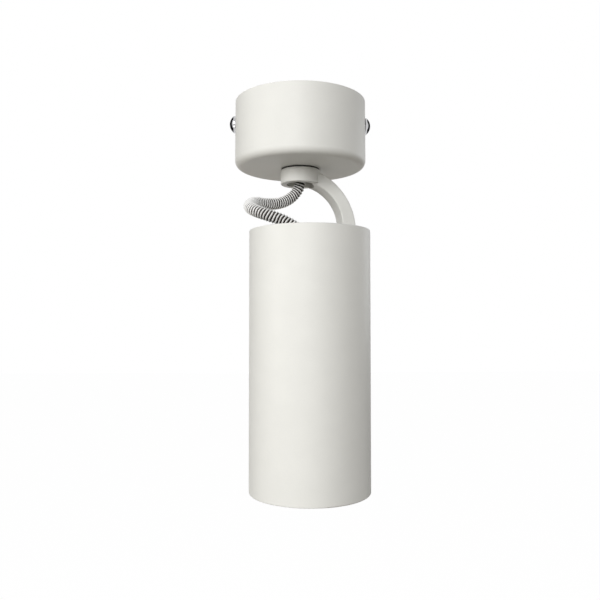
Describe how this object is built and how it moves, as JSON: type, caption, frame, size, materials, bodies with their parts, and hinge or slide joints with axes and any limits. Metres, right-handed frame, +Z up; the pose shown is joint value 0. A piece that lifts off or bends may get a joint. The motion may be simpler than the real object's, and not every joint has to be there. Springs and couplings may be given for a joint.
{
  "type": "surface mounted ceiling spotlight",
  "caption": "Surface mounted ceiling spotlight: round canopy, swivelling C-shaped arm beside a plain tube head that tilts, textile flex loop between them, twist-lock lamp inside",
  "frame": {"origin": "centre of the canopy's face on the ceiling", "axes": "+Z points up into the ceiling along the canopy's axis, the canopy's two side screws lie along X, and the head hangs on the -Y side of the arm"},
  "size_m": [0.085, 0.1129, 0.2224],
  "materials": {
    "powder_coat": "fine matte powder coat, warm off-white",
    "polished_screw": "polished",
    "zinc_steel": "zinc plated",
    "brass": "turned",
    "black_nylon": "moulded",
    "white_nylon": "moulded",
    "ceramic": "glazed steatite",
    "flex_textile": "ribbed white textile over a dark sheath",
    "wire_brown": "extruded",
    "wire_blue": "extruded",
    "wire_green": "extruded",
    "lamp_plastic": "moulded",
    "board": "white circuit board",
    "chips": "phosphor",
    "reflector": "vacuum metallised",
    "lens": "clear, finely ribbed"
  },
  "bodies": {
    "canopy": {"canopy_cup": "powder_coat", "canopy_washer": "black_nylon", "canopy_side_screws": "polished_screw", "ceiling_bracket": "zinc_steel", "terminal_block": "white_nylon", "terminal_screws": "brass", "block_fixing_screw": "zinc_steel", "earth_screw": "zinc_steel", "stop_pin": "zinc_steel", "wire_live": "wire_brown", "wire_neutral": "wire_blue", "wire_earth": "wire_green"},
    "arm": {"swivel_arm": "powder_coat", "hub_bush": "black_nylon", "hollow_stud": "zinc_steel", "stop_washer": "zinc_steel", "lock_washer": "zinc_steel", "stud_lock_nut": "zinc_steel", "stud_grip": "black_nylon", "stud_grip_screw": "zinc_steel", "flex_in_stud": "flex_textile", "flex_loop": "flex_textile", "tilt_friction_washer": "black_nylon"},
    "head": {"head_tube": "powder_coat", "pivot_bolt": "polished_screw", "outer_saddle_washer": "zinc_steel", "inner_saddle_washer": "zinc_steel", "pivot_nut": "zinc_steel", "carrier_plate": "zinc_steel", "head_grip": "black_nylon", "head_grip_screw": "zinc_steel", "head_grip_nut": "zinc_steel", "flex_in_head": "flex_textile", "plate_screws": "zinc_steel", "holder_pillars": "zinc_steel", "lamp_holder": "ceramic", "holder_screws": "zinc_steel", "holder_contacts": "brass", "lead_live": "wire_brown", "lead_neutral": "wire_blue", "lead_earth": "wire_green", "earth_tag": "brass", "earth_tag_screw": "zinc_steel"},
    "lamp": {"lamp_base": "lamp_plastic", "lamp_pins": "zinc_steel", "lamp_housing": "lamp_plastic", "lamp_board": "board", "lamp_chips": "chips", "lamp_reflector": "reflector", "lamp_lens": "lens"}
  },
  "joints": [
    {"name": "arm_swivel", "type": "hinge", "parent": "canopy", "child": "arm", "pos_m": [0, 0, -0.0407], "axis": [0, 0, 1], "range_deg": [-160, 160]},
    {"name": "head_tilt", "type": "hinge", "parent": "arm", "child": "head", "pos_m": [-0.00355, -0.00057, -0.1074], "axis": [-0.1582, 0.9874, 0], "range_deg": [-90, 90], "deforming": ["flex_loop"]},
    {"name": "lamp_twist", "type": "hinge", "parent": "head", "child": "lamp", "pos_m": [0.00295, -0.04115, -0.16], "axis": [0, 0, 1], "range_deg": [-25, 0]}
  ]
}
